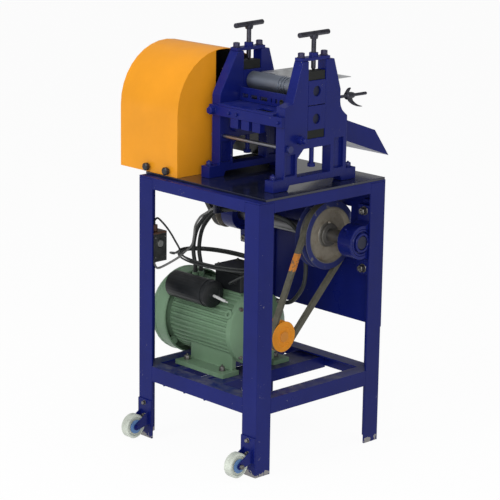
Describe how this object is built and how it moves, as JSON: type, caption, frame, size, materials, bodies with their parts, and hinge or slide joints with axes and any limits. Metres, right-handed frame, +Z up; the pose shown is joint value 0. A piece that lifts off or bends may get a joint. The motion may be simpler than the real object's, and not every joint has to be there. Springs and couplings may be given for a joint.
{
  "type": "flat cable stripping machine",
  "caption": "Free-standing motor-driven machine that feeds flat cable between geared rollers, with screw-set pressure, a feed guide, a rear chute and a belt drive on a wheeled angle-iron stand.",
  "frame": {"origin": "on the floor, under the centre of the whole machine's box, gear cover, casters and chute included", "axes": "+X along the rollers towards the side with the drive pulleys, away from the gear cover; +Y from the feed side to the chute; +Z up"},
  "size_m": [0.541, 0.5996, 1.0823],
  "materials": {
    "navy_enamel": "glossy navy enamel on steel and castings",
    "orange_enamel": "orange enamel on sheet metal",
    "motor_green": "grey-green motor paint",
    "machined_steel": "turned steel",
    "blackened_steel": "blackened steel, oiled",
    "bare_iron": "machined cast iron, dull",
    "black_rubber": "black rubber",
    "belt_rubber": "worn V-belt rubber",
    "black_plastic": "black moulded plastic",
    "pale_nylon": "pale moulded nylon",
    "galvanised_sheet": "zinc-plated sheet",
    "grey_cord": "grey cable jacket",
    "red_plastic": "red moulded plastic"
  },
  "bodies": {
    "stand": {"leg_front_left": "navy_enamel", "leg_front_right": "navy_enamel", "leg_rear_left": "navy_enamel", "leg_rear_right": "navy_enamel", "top_frame": "navy_enamel", "table_top": "navy_enamel", "lower_frame": "navy_enamel", "back_panel": "navy_enamel", "caster_fork_left": "navy_enamel", "caster_fork_right": "navy_enamel", "side_frame_left": "navy_enamel", "side_frame_right": "navy_enamel", "bridge_plate_left": "navy_enamel", "bridge_plate_right": "navy_enamel", "lower_block_left": "navy_enamel", "lower_block_right": "navy_enamel", "feed_guide": "navy_enamel", "feed_shelf": "navy_enamel", "front_crossbar": "navy_enamel", "discharge_chute": "navy_enamel", "pillow_block_left": "navy_enamel", "pillow_block_right": "navy_enamel", "tie_rod": "machined_steel", "outfeed_plate": "galvanised_sheet", "gear_cover": "orange_enamel", "terminal_box": "black_plastic", "capacitor": "black_plastic", "switch_box": "black_plastic", "motor_body": "motor_green", "fan_cowl": "motor_green", "drive_belt": "belt_rubber", "roller_belt": "black_rubber", "motor_cable": "black_rubber", "supply_cable": "black_rubber", "switch_lead": "black_rubber", "lead_hank": "black_rubber", "switch_cord": "grey_cord"},
    "countershaft": {"countershaft": "machined_steel", "large_pulley": "bare_iron", "counter_pulley": "bare_iron"},
    "motor_rotor": {"motor_shaft": "machined_steel", "motor_pulley": "orange_enamel"},
    "lower_roller_set": {"lower_roller": "machined_steel", "lower_gear": "bare_iron", "roller_pulley": "bare_iron"},
    "upper_roller_set": {"upper_roller": "machined_steel", "upper_gear": "bare_iron"},
    "upper_carriage": {"upper_block_left": "navy_enamel", "upper_block_right": "navy_enamel", "pressure_pad_left": "blackened_steel", "pressure_pad_right": "blackened_steel"},
    "right_screw": {"pressure_screw_right": "blackened_steel"},
    "left_screw": {"pressure_screw_left": "blackened_steel"},
    "left_caster": {"caster_wheel_left": "pale_nylon"},
    "right_caster": {"caster_wheel_right": "pale_nylon"},
    "left_wing_screw": {"wing_screw_left": "blackened_steel"},
    "right_wing_screw": {"wing_screw_right": "blackened_steel"},
    "left_cover_knob": {"cover_knob_left": "black_plastic"},
    "right_cover_knob": {"cover_knob_right": "black_plastic"},
    "power_button": {"switch_button": "red_plastic"}
  },
  "joints": [
    {"name": "countershaft_spin", "type": "hinge", "parent": "stand", "child": "countershaft", "pos_m": [0.0505, 0.14375, 0.538], "axis": [1, 0, 0], "continuous": true},
    {"name": "motor_spin", "type": "hinge", "parent": "stand", "child": "motor_rotor", "pos_m": [0.0505, -0.01825, 0.2973], "axis": [1, 0, 0], "continuous": true},
    {"name": "lower_roller_spin", "type": "hinge", "parent": "stand", "child": "lower_roller_set", "pos_m": [0.0505, 0.00025, 0.868], "axis": [1, 0, 0], "continuous": true},
    {"name": "carriage_lift", "type": "slide", "parent": "stand", "child": "upper_carriage", "axis": [0, 0, 1], "range_m": [0, 0.004]},
    {"name": "upper_roller_spin", "type": "hinge", "parent": "upper_carriage", "child": "upper_roller_set", "pos_m": [0.0505, 0.00025, 0.936], "axis": [1, 0, 0], "continuous": true},
    {"name": "right_screw_turn", "type": "hinge", "parent": "upper_carriage", "child": "right_screw", "pos_m": [0.2175, 0.00025, 0.9866], "axis": [0, 0, 1], "range_deg": [0, 720]},
    {"name": "left_screw_turn", "type": "hinge", "parent": "upper_carriage", "child": "left_screw", "pos_m": [-0.0115, 0.00025, 0.9866], "axis": [0, 0, 1], "range_deg": [0, 720]},
    {"name": "left_caster_spin", "type": "hinge", "parent": "stand", "child": "left_caster", "pos_m": [-0.1445, -0.26825, 0.0395], "axis": [1, 0, 0], "continuous": true},
    {"name": "right_caster_spin", "type": "hinge", "parent": "stand", "child": "right_caster", "pos_m": [0.2455, -0.26825, 0.0395], "axis": [1, 0, 0], "continuous": true},
    {"name": "left_wing_turn", "type": "hinge", "parent": "stand", "child": "left_wing_screw", "pos_m": [-0.0115, 0.08405, 0.91], "axis": [0, 1, 0], "range_deg": [0, 720]},
    {"name": "right_wing_turn", "type": "hinge", "parent": "stand", "child": "right_wing_screw", "pos_m": [0.2175, 0.08405, 0.91], "axis": [0, 1, 0], "range_deg": [0, 720]},
    {"name": "left_knob_turn", "type": "hinge", "parent": "stand", "child": "left_cover_knob", "pos_m": [-0.1615, -0.20305, 0.714], "axis": [0, 1, 0], "range_deg": [0, 720]},
    {"name": "right_knob_turn", "type": "hinge", "parent": "stand", "child": "right_cover_knob", "pos_m": [-0.0865, -0.20305, 0.714], "axis": [0, 1, 0], "range_deg": [0, 720]},
    {"name": "button_press", "type": "slide", "parent": "stand", "child": "power_button", "axis": [-1, 0, 0], "range_m": [0, 0.003], "stiffness_N_per_m": 400}
  ],
  "couplings": [
    {"joint": "motor_spin", "follows": "countershaft_spin", "ratio": 2.25},
    {"joint": "lower_roller_spin", "follows": "countershaft_spin", "ratio": 0.5},
    {"joint": "upper_roller_spin", "follows": "countershaft_spin", "ratio": -0.5},
    {"joint": "right_screw_turn", "follows": "carriage_lift", "rad_per_m": 3141.6},
    {"joint": "left_screw_turn", "follows": "carriage_lift", "rad_per_m": 3141.6}
  ]
}
